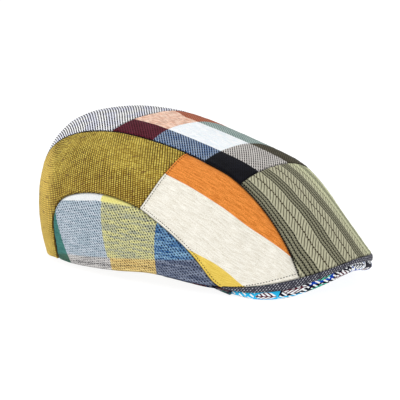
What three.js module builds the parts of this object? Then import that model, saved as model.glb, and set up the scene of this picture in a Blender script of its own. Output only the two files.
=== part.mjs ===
// A duckbill cap: a rounded crown that runs straight into a long curved peak.
// Millimetres, +Z up, the peak points along -Y. The cap stands on its back hem and on the
// two low corners of its peak, and the group's origin is below the middle of its box.
import * as THREE from 'three';

// Driving dimensions
const WALL = 1.8; // cloth with its backing
const SEAM_GAP = 0.36; // between two panels along a seam
const PEAK_BOARD = 2.0; // stiff board of the peak with its cover
const BINDING_WALL = 2.0; // band along the peak's edge
const LEAN_DEG = 1.0; // the cap leans forward until hem and peak both touch the ground
const BASE_Z = -2.61; // lifts or lowers the leaning cap onto the ground
const CENTRE_Y = 32.04; // from the middle of the head opening to the middle of the box

// Colours, roughness of each cloth
const CLOTHS = {
  houndstooth: { color: 0xc9ccd6, roughness: 0.92 },
  checks: { color: 0x8fa3bd, roughness: 0.92 },
  sage: { color: 0xa5a582, roughness: 0.9 },
  mustard: { color: 0xb8a034, roughness: 0.95 },
  plaid: { color: 0x8ea6ae, roughness: 0.92 },
  blocks: { color: 0xe8e3d6, roughness: 0.9 },
  denim: { color: 0x3a4252, roughness: 0.9 },
  print: { color: 0x3f7fae, roughness: 0.85 },
};

// The outer surface is laid over hoops, each from the right rim over the top to the left rim.
// One row per hoop, from the back hem (first) to the peak's edge (last).
const HOOP_COLUMNS = [
  'rimX', // half the width at the rim
  'rimY', // where the rim is
  'rimZ',
  'topY', // where the hoop crosses the middle
  'topZ',
  'stripX', // half the width of the top strip
  'square', // 2 is an ellipse, more is squarer
  'bulge', // how far the side swells past the rim
  'droop', // above 1 the hoop's shoulders hang lower
];
const HOOPS = [
  [72.5, 50, 7.2, 92, 1, 24, 2.0, 0, 1],
  [77, 34, 6, 105, 40, 38, 2.1, 3, 1],
  [79, 17, 7.8, 104, 82.8, 48, 2.3, 7, 1],
  [81, -2, 9.2, 82, 105, 49, 2.5, 9, 1],
  [81, -20, 11.2, 40, 110.5, 42.5, 2.6, 9, 1],
  [80, -40, 14.2, -10, 105, 37.2, 2.6, 7, 1],
  [79, -60, 14.3, -60, 94.3, 33.2, 2.4, 5, 1],
  [76, -78, 13, -102, 86.8, 37.8, 2.15, 1, 1],
  [72, -90, 12, -138, 57.8, 37.8, 2.0, -1, 1.2],
  [66, -100, 12.5, -166, 29.5, 42, 1.8, 0, 1.8],
];
const PEAK_EDGE = HOOPS.length - 1;

// The left half of each hoop differs a little in these columns: the crown is fuller there, the
// peak hangs in a shallow hollow before its edge and the strip is wider
const LEFT_COLUMNS = ['stripX', 'square', 'droop'];
const LEFT_HOOPS = [
  [24, 2.0, 1],
  [38, 2.1, 1],
  [48, 2.3, 1],
  [49, 2.4, 1],
  [45, 2.7, 1],
  [44.5, 2.3, 1],
  [43, 2.3, 1],
  [43.5, 2.1, 0.85],
  [41, 2.1, 2.2],
  [42, 1.8, 1.8],
];

// Seams. On a side of the cap a place is [hoop, down]: down is 0 at the top strip, 1 at the rim.
const BACK_CROSS_SEAM = 4.2; // hoop where the back panel ends, at the strip's edges
const BACK_CROSS_BOW = 0.17; // how much further forward it runs at the middle
const SIDE_CROSS_SEAM = 5.63; // hoop where the side seam leaves the strip
const FRONT_CROSS_SEAM = 6.85; // hoop where the peak's panel begins
const ARCH_SEAM = [[0, 1], [0.75, 0.85], [1.41, 0.737], [1.97, 0.622], [2.45, 0.543],
  [3, 0.492], [3.7, 0.483], [4.5, 0.495], [5.33, 0.538]];
const SIDE_SEAM = [[SIDE_CROSS_SEAM, 0], [5.59, 0.22], [5.5, 0.4], [5.33, 0.538]];
const SLANT_SEAM = [[5.33, 0.538], [5.9, 0.61], [6.5, 0.69], [7.1, 0.768], [7.75, 0.842],
  [8.35, 0.905], [PEAK_EDGE, 1]];

// How finely the panels are divided
const ROWS_TO_BACK_CROSS = 20;
const ROWS_TO_SIDE_CROSS = 8;
const ROWS_TO_FRONT_CROSS = 5;
const ROWS_TO_EDGE = 9;
const ROWS_BACK = ROWS_TO_BACK_CROSS + ROWS_TO_SIDE_CROSS;
const ROWS_FRONT = ROWS_TO_FRONT_CROSS + ROWS_TO_EDGE;
const COLUMNS = 10;
const LOWER_COLUMNS = 5;
const LEVEL_HEM_END = 7.5; // from this hoop forward the hem is cut square to the cloth
const TIP_TRIM = 0.5; // a pointed panel ends this far into its last row

// The peak's border below its edge. turn is degrees round the edge from the front, then 10 for
// each hoop further back along the rim; band is the binding's height, drop the lowest line.
const BORDER_COLUMNS = ['turn', 'band', 'drop', 'tuck'];
const BORDER = [
  [0, 3.1, 9.8, 0.5],
  [20, 4.5, 11.3, 0.5],
  [35, 5.6, 12.5, 0.5],
  [50, 6.1, 13.1, 0.6],
  [60, 5.3, 11.9, 0.8],
  [72, 4.2, 9.7, 1.2],
  [82, 2.6, 7.0, 2.0],
  [90, 1.8, 4.9, 2.9],
  [95, 1.0, 3.0, 3.2],
  [102, 0.1, 1.7, 3.0],
  [112, -0.6, 0.9, 3.0],
  [124, -0.9, 0.6, 3.6],
];
const TURN_PER_HOOP = 10;
const HORN_HOOP = 5.6; // the peak's board reaches back to here along the rim
const HORN_ROWS = 7;
const HORN_TRIM = 0.5;
const LIP_BELLY = 0.8; // how far the rolled lip swells outwards
const LIP_TURN = 3.0; // width of the roll, from its top edge to its lowest line
const LIP_BELLY_SHARE = 0.55; // how far down the lip swells most
const SHELF = { along: 0.35, rise: 0.22 }; // the board leaves the lip low, then climbs to the brow
const BOARD_PLACES = [0, 0.14, 0.27, 0.4, 0.52, 0.66, 0.82, 1]; // along the board's profile
const BROW = { halfWidth: 76, y: -50, depth: 45, z: 15.5, rise: 12 }; // front of the head opening
const JOIN_GAP = 0.35; // between stacked layers of the border
const INNER_JOIN_GAP = 0.49; // the same along the binding's hidden top
const BINDING_SWELL = 0.5;
const BINDING_SWELL_SHARE = 0.45; // how far down the binding swells most
const BINDING_OVERHANG = 0.1; // how far the binding stands out from the cloth
const BINDING_TOP_SHARE = 0.6; // its top is narrower than its foot, clear of the peak's cloth
const BINDING_LEAST_HEIGHT = 0.2;
const BORDER_ROUNDING = 0.35; // how much the border's table is rounded between its rows

const rad = THREE.MathUtils.degToRad;

// Value of a table at place s: a uniform cubic B-spline through rows that act as control points
function blendRows(table, s) {
  const last = table.length - 1;
  const place = Math.min(Math.max(s, 0), last);
  const i = Math.min(Math.floor(place), last - 1);
  const f = place - i;
  const weights = [
    (1 - f) ** 3,
    3 * f ** 3 - 6 * f ** 2 + 4,
    -3 * f ** 3 + 3 * f ** 2 + 3 * f + 1,
    f ** 3,
  ];
  const row = (k) => {
    if (k < 0) return table[0].map((v, c) => 2 * v - table[1][c]);
    if (k > last) return table[last].map((v, c) => 2 * v - table[last - 1][c]);
    return table[k];
  };
  const rows = [row(i - 1), row(i), row(i + 1), row(i + 2)];
  return table[0].map((_, c) => rows.reduce((sum, r, k) => sum + (weights[k] * r[c]) / 6, 0));
}

// Half a hoop; side is -1 for the right half and 1 for the left one
function hoopAt(s, side) {
  const read = (table, columns) => {
    const values = blendRows(table, s);
    return Object.fromEntries(columns.map((name, c) => [name, values[c]]));
  };
  return { ...read(HOOPS, HOOP_COLUMNS), ...(side > 0 ? read(LEFT_HOOPS, LEFT_COLUMNS) : {}) };
}

// Angle from the middle to the top strip's edge
function stripAngle(hoop) {
  const share = (hoop.stripX / hoop.rimX) ** hoop.square;
  return Math.atan((share / (1 - share)) ** (1 / hoop.square));
}

// Outer surface: angle is 0 at the middle, -90 degrees at the right rim and 90 at the left one
function surfacePoint(s, angle) {
  const h = hoopAt(s, Math.sign(angle));
  const limited = Math.min(Math.abs(angle), Math.PI / 2);
  const across = Math.sin(limited);
  const over = Math.max(Math.cos(limited), 0);
  const size = (across ** h.square + over ** h.square) ** (1 / h.square);
  const height = over / size;
  const x = (h.rimX * across) / size + h.bulge * Math.sin(Math.PI * Math.min(height, 1));
  const y = h.rimY + (h.topY - h.rimY) * over;
  const z = h.rimZ + (h.topZ - h.rimZ) * height ** h.droop;
  return new THREE.Vector3(Math.sign(angle) * (across > 0 ? x : 0), y, z);
}

// Places on the surface: of a side (-1 right, 1 left) by hoop and down, of the strip by hoop and
// across, which is -1 to 1
const sideAngle = (s, down, side) => {
  const start = stripAngle(hoopAt(s, side));
  return side * (start + down * (Math.PI / 2 - start));
};
const onSide = (side) => ([s, down]) => ({ s, angle: sideAngle(s, down, side) });
const onStrip = ([s, across]) => ({ s, angle: across * stripAngle(hoopAt(s, Math.sign(across))) });

// Outward normal of the surface at a place. Close to the border it is taken a little further in,
// because the rim and the peak's edge meet there in one smooth line.
function surfaceNormal({ s, angle }) {
  const step = 0.02;
  const margin = 0.16;
  const a = THREE.MathUtils.clamp(angle, -Math.PI / 2 + margin, Math.PI / 2 - margin);
  const b = THREE.MathUtils.clamp(s, margin, PEAK_EDGE - margin);
  const along = surfacePoint(b + step, a).sub(surfacePoint(b - step, a));
  const across = surfacePoint(b, a + step).sub(surfacePoint(b, a - step));
  return across.cross(along).normalize().negate();
}

// A place on the straight line between two others, so that it stays on a neighbour's edge
const between = (a, b, share) => ({
  s: mix(a.s, b.s, share),
  angle: mix(a.angle, b.angle, share),
  from: a,
  to: b,
  share,
});
const pointOf = (place) => (place.from
  ? pointOf(place.from).lerp(pointOf(place.to), place.share)
  : surfacePoint(place.s, place.angle));
const normalOf = (place) => (place.from
  ? normalOf(place.from).lerp(normalOf(place.to), place.share)
  : surfaceNormal(place));

// Leans the cap onto the ground and puts the origin below the middle of its box
function settle(p) {
  const lean = rad(LEAN_DEG);
  const y = p.y * Math.cos(lean) - p.z * Math.sin(lean);
  const z = p.z * Math.cos(lean) + p.y * Math.sin(lean);
  return new THREE.Vector3(p.x, y + CENTRE_Y, z + BASE_Z);
}

// A closed shell between an outer and an inner grid of points, grid[row][column]
function shell(outer, inner) {
  const rows = outer.length;
  const columns = outer[0].length;
  const points = [...outer.flat(), ...inner.flat()];
  const faces = [];
  const at = (layer, r, c) => layer * rows * columns + r * columns + c;
  const quad = (a, b, c, d) => faces.push([a, b, c], [a, c, d]);
  const end = columns - 1;
  for (let r = 0; r < rows - 1; r += 1) {
    for (let c = 0; c < columns - 1; c += 1) {
      quad(at(0, r, c), at(0, r, c + 1), at(0, r + 1, c + 1), at(0, r + 1, c));
      quad(at(1, r, c), at(1, r + 1, c), at(1, r + 1, c + 1), at(1, r, c + 1));
    }
  }
  for (let r = 0; r < rows - 1; r += 1) {
    quad(at(0, r, 0), at(0, r + 1, 0), at(1, r + 1, 0), at(1, r, 0));
    quad(at(0, r + 1, end), at(0, r, end), at(1, r, end), at(1, r + 1, end));
  }
  for (let c = 0; c < columns - 1; c += 1) {
    quad(at(0, 0, c + 1), at(0, 0, c), at(1, 0, c), at(1, 0, c + 1));
    quad(at(0, rows - 1, c), at(0, rows - 1, c + 1), at(1, rows - 1, c + 1), at(1, rows - 1, c));
  }
  return closedMesh(points, faces);
}

// Geometry with its faces turned outwards
function closedMesh(points, faces) {
  const volume = faces.reduce(
    (sum, [a, b, c]) => sum + points[a].dot(points[b].clone().cross(points[c])),
    0,
  );
  const turned = volume < 0 ? faces.map(([a, b, c]) => [a, c, b]) : faces;
  const geometry = new THREE.BufferGeometry();
  const coordinates = points.flatMap((p) => [p.x, p.y, p.z]);
  geometry.setAttribute('position', new THREE.Float32BufferAttribute(coordinates, 3));
  geometry.setIndex(turned.flat());
  geometry.computeVertexNormals();
  return geometry;
}

// A cloth panel from a grid of places. seams names the grid's sides that meet another panel:
// those are drawn in by half the seam gap. Hems are cut level.
function panel(places, seams) {
  const rows = places.length;
  const columns = places[0].length;
  const points = places.map((row) => row.map(pointOf));
  const normals = places.map((row) => row.map(normalOf));
  const isHem = ({ s, angle }) => s === 0
    || (s < LEVEL_HEM_END && Math.abs(angle) > Math.PI / 2 - 1e-6);
  const insets = points.map((row) => row.map(() => new THREE.Vector3()));
  const end = columns - 1;
  const drawIn = (r, c, r1, c1, r2, c2, rIn, cIn) => {
    const along = points[r2][c2].clone().sub(points[r1][c1]);
    const inward = normals[r][c].clone().cross(along).normalize();
    if (inward.dot(points[rIn][cIn].clone().sub(points[r][c])) < 0) inward.negate();
    insets[r][c].addScaledVector(inward, SEAM_GAP / 2);
  };
  for (let r = 0; r < rows; r += 1) {
    const r1 = Math.max(r - 1, 0);
    const r2 = Math.min(r + 1, rows - 1);
    if (seams.includes('firstColumn')) drawIn(r, 0, r1, 0, r2, 0, r, 1);
    if (seams.includes('lastColumn')) drawIn(r, end, r1, end, r2, end, r, end - 1);
  }
  for (let c = 0; c < columns; c += 1) {
    const c1 = Math.max(c - 1, 0);
    const c2 = Math.min(c + 1, columns - 1);
    if (seams.includes('firstRow')) drawIn(0, c, 0, c1, 0, c2, 1, c);
    if (seams.includes('lastRow')) drawIn(rows - 1, c, rows - 1, c1, rows - 1, c2, rows - 2, c);
  }
  const outer = points.map((row, r) => row.map((p, c) => settle(p.clone().add(insets[r][c]))));
  const inner = points.map((row, r) => row.map((p, c) => {
    const q = settle(p.clone().add(insets[r][c]).addScaledVector(normals[r][c], -WALL));
    if (isHem(places[r][c])) q.z = outer[r][c].z;
    return q;
  }));
  levelBackHem(places, outer, inner);
  return shell(outer, inner);
}

// The back of the hem is cut level with the ground, as wide as the top strip
function levelBackHem(places, outer, inner) {
  places.forEach((row, r) => row.forEach(({ s, angle }, c) => {
    if (s !== 0 || Math.abs(angle) > stripAngle(hoopAt(0, Math.sign(angle))) + 1e-6) return;
    outer[r][c].z = 0;
    inner[r][c].z = 0;
  }));
}

// Evenly spaced places along a seam, ends included
function seamPlaces(seam, divisions) {
  const curve = new THREE.SplineCurve(seam.map(([s, down]) => new THREE.Vector2(s, down)));
  return Array.from({ length: divisions + 1 }, (_, i) => {
    const place = curve.getPoint(i / divisions);
    return [place.x, place.y];
  });
}

const steps = (from, to, divisions) =>
  Array.from({ length: divisions + 1 }, (_, i) => from + ((to - from) * i) / divisions);
const mix = (a, b, f) => a + (b - a) * f;

// Hoops at which every panel beside the top strip has a row
const STRIP_ROWS = [
  ...steps(0, BACK_CROSS_SEAM, ROWS_TO_BACK_CROSS),
  ...steps(BACK_CROSS_SEAM, SIDE_CROSS_SEAM, ROWS_TO_SIDE_CROSS).slice(1),
  ...steps(SIDE_CROSS_SEAM, FRONT_CROSS_SEAM, ROWS_TO_FRONT_CROSS).slice(1),
  ...steps(FRONT_CROSS_SEAM, PEAK_EDGE, ROWS_TO_EDGE).slice(1),
];
const BACK_ROWS = STRIP_ROWS.slice(0, ROWS_BACK + 1);
const FRONT_ROWS = STRIP_ROWS.slice(ROWS_BACK);

// Fills a four-sided patch from its border curves: first and last run along it, start and end across
function fillPatch(first, last, start, end) {
  const rows = first.length - 1;
  const columns = start.length - 1;
  return first.map((_, r) => start.map((__, c) => [0, 1].map((k) => {
    const a = r / rows;
    const b = c / columns;
    const ruled = mix(first[r][k], last[r][k], b) + mix(start[c][k], end[c][k], a);
    const corners = mix(mix(first[0][k], last[0][k], b), mix(first[rows][k], last[rows][k], b), a);
    return ruled - corners;
  })));
}

// Top strip, between the two strip seams. The back cross seam bows forward at the middle.
const backCrossAt = (across) => BACK_CROSS_SEAM + BACK_CROSS_BOW * (1 - across ** 2);
function stripPanel(fromRow, toRow, hoopOf, seams) {
  const places = STRIP_ROWS.slice(fromRow, toRow + 1).map((s) => (
    steps(-1, 1, COLUMNS).map((across) => onStrip([hoopOf(s, across), across]))));
  return panel(places, seams);
}
const topBackPanel = () => stripPanel(0, ROWS_TO_BACK_CROSS,
  (s, across) => (s / BACK_CROSS_SEAM) * backCrossAt(across), ['firstColumn', 'lastColumn', 'lastRow']);
const topCheckPanel = () => stripPanel(ROWS_TO_BACK_CROSS, ROWS_BACK + ROWS_TO_FRONT_CROSS,
  (s, across) => mix(backCrossAt(across), FRONT_CROSS_SEAM,
    (s - BACK_CROSS_SEAM) / (FRONT_CROSS_SEAM - BACK_CROSS_SEAM)),
  ['firstColumn', 'lastColumn', 'firstRow', 'lastRow']);
const peakTopPanel = () => stripPanel(ROWS_BACK + ROWS_TO_FRONT_CROSS, STRIP_ROWS.length - 1,
  (s) => s, ['firstColumn', 'lastColumn', 'firstRow']);

// Side of the crown, from the back hem to the side seam
function sidePanel(side) {
  const places = fillPatch(
    BACK_ROWS.map((s) => [s, 0]),
    seamPlaces(ARCH_SEAM, ROWS_BACK),
    steps(0, 1, COLUMNS).map((down) => [0, down]),
    seamPlaces(SIDE_SEAM, COLUMNS),
  );
  return panel(places.map((row) => row.map(onSide(side))), ['firstColumn', 'lastColumn', 'lastRow']);
}

// Side of the peak, from the side seam to the peak's edge
function frontSidePanel(side) {
  const places = fillPatch(
    FRONT_ROWS.map((s) => [s, 0]),
    seamPlaces(SLANT_SEAM, ROWS_FRONT),
    seamPlaces(SIDE_SEAM, COLUMNS),
    steps(0, 1, COLUMNS).map((down) => [PEAK_EDGE, down]),
  );
  return panel(places.map((row) => row.map(onSide(side))), ['firstColumn', 'lastColumn', 'firstRow']);
}

// Low panel over the ear, pointed at both ends, between the arch and slant seams and the rim
function lowerSidePanel(side) {
  const top = [...seamPlaces(ARCH_SEAM, ROWS_BACK), ...seamPlaces(SLANT_SEAM, ROWS_FRONT).slice(1)];
  const count = top.length - 1;
  const places = top.map(([s, down], i) => {
    const rim = PEAK_EDGE * mix(i / count, s / PEAK_EDGE, 0.6);
    return steps(0, 1, LOWER_COLUMNS).map((f) => onSide(side)([mix(s, rim, f), mix(down, 1, f)]));
  });
  const blunt = (end, next) => end.map((place, c) => between(place, next[c], TIP_TRIM));
  const firstRow = blunt(places[0], places[1]);
  const lastRow = blunt(places[count], places[count - 1]);
  return panel([firstRow, ...places.slice(1, -1), lastRow], ['firstColumn']);
}

// Stations round the peak's border from the right horn over the front to the left horn
function borderStations(withHorns) {
  const stations = [];
  const add = (place, turn) => {
    const point = surfacePoint(place.s, place.angle);
    stations.push({ point, normal: surfaceNormal(place), turn });
  };
  const rimHoops = steps(HORN_HOOP, PEAK_EDGE, HORN_ROWS).slice(0, -1);
  const rim = (side) => (s) => (
    add({ s, angle: side * (Math.PI / 2) }, 90 + TURN_PER_HOOP * (PEAK_EDGE - s)));
  const edge = (place) => add(place, THREE.MathUtils.radToDeg(Math.abs(place.angle)));
  if (withHorns) rimHoops.forEach(rim(-1));
  steps(1, 0, COLUMNS).forEach((down) => edge(onSide(-1)([PEAK_EDGE, down])));
  steps(-1, 1, COLUMNS).slice(1).forEach((across) => edge(onStrip([PEAK_EDGE, across])));
  steps(0, 1, COLUMNS).slice(1).forEach((down) => edge(onSide(1)([PEAK_EDGE, down])));
  if (withHorns) rimHoops.reverse().forEach(rim(1));
  stations.forEach((station, i) => {
    const before = stations[Math.max(i - 1, 0)].point;
    const after = stations[Math.min(i + 1, stations.length - 1)].point;
    station.out = new THREE.Vector3(after.y - before.y, before.x - after.x, 0).normalize();
  });
  return stations;
}

// Row of the border's table at a turn
function borderAt(turn) {
  const i = Math.max(BORDER.findIndex((row) => row[0] > turn), 1);
  const beyond = turn >= BORDER.at(-1)[0];
  const [a, b] = beyond ? [BORDER.at(-2), BORDER.at(-1)] : [BORDER[i - 1], BORDER[i]];
  const straight = (turn - a[0]) / (b[0] - a[0]);
  const f = mix(straight, THREE.MathUtils.smoothstep(turn, a[0], b[0]), BORDER_ROUNDING);
  return Object.fromEntries(BORDER_COLUMNS.map((name, c) => [name, mix(a[c], b[c], f)]));
}

// Band sewn round the peak's edge, below the cloth
function peakBinding() {
  const rings = borderStations(false).map(({ point, normal, out, turn }) => {
    const { band } = borderAt(turn);
    const wallEnd = point.clone().addScaledVector(normal, -WALL);
    const place = (outwards, z) => settle(point.clone().addScaledVector(out, outwards).setZ(z));
    const foot = point.z - band;
    const innerReach = Math.min(
      wallEnd.clone().sub(point).dot(out),
      BINDING_OVERHANG - BINDING_WALL * BINDING_TOP_SHARE,
    );
    const innerTop = Math.max(wallEnd.z - INNER_JOIN_GAP, foot + BINDING_LEAST_HEIGHT);
    return [
      place(0, point.z - JOIN_GAP),
      place(BINDING_SWELL, point.z - JOIN_GAP - band * BINDING_SWELL_SHARE),
      place(BINDING_OVERHANG, foot),
      place(BINDING_OVERHANG - BINDING_WALL, foot),
      place(innerReach, innerTop),
    ];
  });
  return sweep(rings);
}

// A closed bar through rings of points
function sweep(rings) {
  const size = rings[0].length;
  const points = rings.flat();
  const faces = [];
  for (let i = 0; i < rings.length - 1; i += 1) {
    for (let k = 0; k < size; k += 1) {
      const a = i * size + k;
      const b = i * size + ((k + 1) % size);
      faces.push([a, b, b + size], [a, b + size, a + size]);
    }
  }
  const end = (rings.length - 1) * size;
  for (let k = 1; k < size - 1; k += 1) {
    faces.push([0, k + 1, k], [end, end + k, end + k + 1]);
  }
  return closedMesh(points, faces);
}

// Board of the peak with its printed cover: rolled at the lip, then back to the brow
function peakUnderside() {
  const stations = borderStations(true);
  const count = stations.length - 1;
  const outerRows = stations.map(({ point, out, turn }, i) => {
    const { band, drop, tuck } = borderAt(turn);
    const swing = rad(mix(-90, 90, i / count));
    const brow = new THREE.Vector3(
      BROW.halfWidth * Math.sin(swing),
      BROW.y - BROW.depth * Math.cos(swing),
      BROW.z + BROW.rise * Math.cos(swing),
    );
    const at = (inwards, down) => point.clone().addScaledVector(out, -inwards).setZ(point.z - down);
    const lipTop = band + JOIN_GAP;
    const lowest = at(tuck + LIP_TURN, drop);
    const towards = brow.clone().sub(lowest);
    const profile = new THREE.CatmullRomCurve3([
      at(tuck, lipTop),
      at(tuck - LIP_BELLY, mix(lipTop, drop, LIP_BELLY_SHARE)),
      lowest,
      lowest.clone().addScaledVector(towards, SHELF.along).setZ(lowest.z + towards.z * SHELF.rise),
      brow,
    ]);
    return BOARD_PLACES.map((f) => settle(profile.getPoint(f)));
  });
  const blunt = (end, next) => end.map((p, c) => p.clone().lerp(next[c], HORN_TRIM));
  outerRows[0] = blunt(outerRows[0], outerRows[1]);
  outerRows[count] = blunt(outerRows[count], outerRows[count - 1]);
  return shell(outerRows, thicken(outerRows, PEAK_BOARD));
}

// Copy of a grid, moved by the thickness along its own normals, to the upper side
function thicken(grid, thickness) {
  const lastRow = grid.length - 1;
  const lastColumn = grid[0].length - 1;
  return grid.map((row, r) => row.map((p, c) => {
    const along = grid[Math.min(r + 1, lastRow)][c].clone().sub(grid[Math.max(r - 1, 0)][c]);
    const across = row[Math.min(c + 1, lastColumn)].clone().sub(row[Math.max(c - 1, 0)]);
    const normal = along.cross(across).normalize();
    return p.clone().addScaledVector(normal, thickness);
  }));
}

// The assembly
function piece(name, cloth, geometry) {
  const mesh = new THREE.Mesh(geometry, new THREE.MeshStandardMaterial({ ...CLOTHS[cloth], metalness: 0 }));
  mesh.name = name;
  return mesh;
}

const cap = new THREE.Group();
cap.add(
  piece('top_back_panel', 'houndstooth', topBackPanel()),
  piece('top_check_panel', 'checks', topCheckPanel()),
  piece('peak_top_panel', 'sage', peakTopPanel()),
);
for (const [name, side] of [['right', -1], ['left', 1]]) {
  cap.add(
    piece(`side_panel_${name}`, 'mustard', sidePanel(side)),
    piece(`lower_side_panel_${name}`, 'plaid', lowerSidePanel(side)),
    piece(`front_side_panel_${name}`, 'blocks', frontSidePanel(side)),
  );
}
cap.add(
  piece('peak_binding', 'denim', peakBinding()),
  piece('peak_underside', 'print', peakUnderside()),
);

export default cap;
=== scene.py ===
# A patchwork duckbill cap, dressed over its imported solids. Tables are in millimetres with the
# head opening's middle at y = 0, and settle() turns them into the frame's metres.
import math

import bpy
import numpy as np
from mathutils import Matrix, Vector
from mathutils.bvhtree import BVHTree


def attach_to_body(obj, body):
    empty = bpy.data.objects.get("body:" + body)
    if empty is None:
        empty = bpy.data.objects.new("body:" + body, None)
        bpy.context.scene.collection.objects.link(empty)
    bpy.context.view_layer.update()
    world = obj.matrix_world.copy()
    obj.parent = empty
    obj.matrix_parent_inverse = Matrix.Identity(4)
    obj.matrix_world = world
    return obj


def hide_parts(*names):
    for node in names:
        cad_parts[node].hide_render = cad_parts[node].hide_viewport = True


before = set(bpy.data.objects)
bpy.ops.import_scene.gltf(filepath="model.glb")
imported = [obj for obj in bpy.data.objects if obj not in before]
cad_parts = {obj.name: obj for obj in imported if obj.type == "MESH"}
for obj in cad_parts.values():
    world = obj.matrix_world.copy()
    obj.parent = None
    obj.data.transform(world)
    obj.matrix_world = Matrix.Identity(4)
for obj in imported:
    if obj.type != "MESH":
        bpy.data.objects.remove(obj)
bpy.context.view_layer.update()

# Sizes
MM = 0.001
WALL = 1.6  # cloth with its backing
LEAN = math.radians(1.0)  # the cap leans forward onto its peak
BASE_Z = -2.61
CENTRE_Y = 32.04

# The outer surface is laid over hoops from the back hem to the peak's edge, a row each
HOOP_COLUMNS = ["rim_x", "rim_y", "rim_z", "top_y", "top_z", "strip_x", "square", "bulge", "droop"]
HOOPS = np.array([
    [72.5, 50, 7.2, 92, 1, 24, 2.0, 0, 1],
    [77, 34, 6, 105, 40, 38, 2.1, 3, 1],
    [79, 17, 7.8, 104, 82.8, 48, 2.3, 7, 1],
    [81, -2, 9.2, 82, 105, 49, 2.5, 9, 1],
    [81, -20, 11.2, 40, 110.5, 42.5, 2.6, 9, 1],
    [80, -40, 14.2, -10, 105, 37.2, 2.6, 7, 1],
    [79, -60, 14.3, -60, 94.3, 33.2, 2.4, 5, 1],
    [76, -78, 13, -102, 86.8, 37.8, 2.15, 1, 1],
    [72, -90, 12, -138, 57.8, 37.8, 2.0, -1, 1.2],
    [66, -100, 12.5, -166, 29.5, 42, 1.8, 0, 1.8],
])
PEAK_EDGE = len(HOOPS) - 1
# The left half of each hoop differs a little in these columns
LEFT_COLUMNS = ["strip_x", "square", "droop"]
LEFT_HOOPS = np.array([
    [24, 2.0, 1],
    [38, 2.1, 1],
    [48, 2.3, 1],
    [49, 2.4, 1],
    [45, 2.7, 1],
    [44.5, 2.3, 1],
    [43, 2.3, 1],
    [43.5, 2.1, 0.85],
    [41, 2.1, 2.2],
    [42, 1.8, 1.8],
])

# Seams, as places [hoop, down] on a side: down is 0 at the top strip and 1 at the rim
BACK_CROSS, SIDE_CROSS, FRONT_CROSS = 4.2, 5.63, 6.85  # hoops where seams meet the strip's edge
BACK_BOW = 0.17  # how far towards the front the first one bows at the strip's middle
ARCH_SEAM = [[0, 1], [0.75, 0.85], [1.41, 0.737], [1.97, 0.622], [2.45, 0.543], [3, 0.492],
             [3.7, 0.483], [4.5, 0.495], [5.33, 0.538]]
SIDE_SEAM = [[SIDE_CROSS, 0], [5.59, 0.22], [5.5, 0.4], [5.33, 0.538]]
SLANT_SEAM = [[5.33, 0.538], [5.9, 0.61], [6.5, 0.69], [7.1, 0.768], [7.75, 0.842],
              [8.35, 0.905], [PEAK_EDGE, 1]]
# Lines where the woven colours change
ORANGE_LINE = [[5.0, 0.235], [5.55, 0.247], [6.4, 0.267], [6.92, 0.26], [7.52, 0.219],
               [8.03, 0.121], [8.51, -0.005], [9, -0.14]]
YELLOW_LINE = [[5.3, 0.73], [6.56, 0.71], [7.09, 0.705], [7.75, 0.673], [8.28, 0.66],
               [8.78, 0.667], [9, 0.67]]
CHECK_COLUMNS = (5.0, 6.01)  # hoops
CHECK_ROWS = (-0.5, 0.33)  # shares of the strip's half width
ROW_BEND = 0.24  # the far row line runs out by this much between these hoops, towards the back
ROW_BEND_HOOPS = (4.75, 4.25)
GRAIN_ACROSS = (0.643, -0.766)  # x and y across the side cloth's grain; level round the back corner
GRAIN_TURN = (0.25, 0.65)  # cosine of the angle between these two, where one gives way to the other
GRAIN_ROUNDS = 900
LONG_RIPPLE, SHORT_RIPPLE = 34, 11  # lengths
SHORT_RIPPLE_HEIGHT = 0.12
PUCKER_LENGTHS = (7.3, 4.1)
FAR = 99.0  # farther from the nearest border than any place on a cloth
SHARP_FOLD = math.radians(55)  # sharper edges aren't shaded smooth

# Border of the peak, by degrees round its edge from the front and then along the rim
BORDER_COLUMNS = ["turn", "band", "drop", "tuck"]
BORDER = np.array([
    [0, 3.1, 9.8, 0.5],
    [20, 4.5, 11.3, 0.5],
    [35, 5.6, 12.5, 0.5],
    [50, 6.1, 13.1, 0.6],
    [60, 5.3, 11.9, 0.8],
    [72, 4.2, 9.7, 1.2],
    [82, 2.6, 7.0, 2.0],
    [90, 1.8, 4.9, 2.9],
    [95, 1.0, 3.0, 3.2],
    [102, 0.1, 1.7, 3.0],
    [112, -0.6, 0.9, 3.0],
    [124, -0.9, 0.6, 3.6],
])
TURN_PER_HOOP = 10  # degrees along the rim
HORN_HOOP = 5.6  # where the border ends on the rim
JOIN_GAP = 0.3  # between cloth, binding and lip
BINDING_WALL = 1.8
BINDING_START = 0.1  # how far outside the cloth's edge the binding starts
BINDING_SWELL = 0.7
BINDING_FOLD = 1.1  # how far in its folded edge lies
BINDING_LIFT = 0.1  # how much higher than the fold its inner edge lies
BINDING_LEAST = 0.3  # least height of its inner wall
# The binding's outside as shares of its height, downwards, and of its swell
BINDING_OUTLINE = [(0, 0), (0.12, 0.55), (0.32, 0.95), (0.55, 1), (0.78, 0.8), (0.93, 0.4), (1, -0.1)]
BOARD = 1.8  # with its cover
LIP_BELLY = 0.8  # how far the lip swells out past its tuck
BELLY_DOWN = 0.55  # place of the belly as a share of the lip's height
LIP_TURN = 3.0  # how far in the lip's lowest line lies
SHELF = (0.35, 0.35, 0.22)  # shares of the way from there to the brow in x, y and z
BROW = dict(half_width=76, y=-50, depth=45, z=15.5, rise=12)
BORDER_TRIM = 3  # stations left off at either horn

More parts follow.
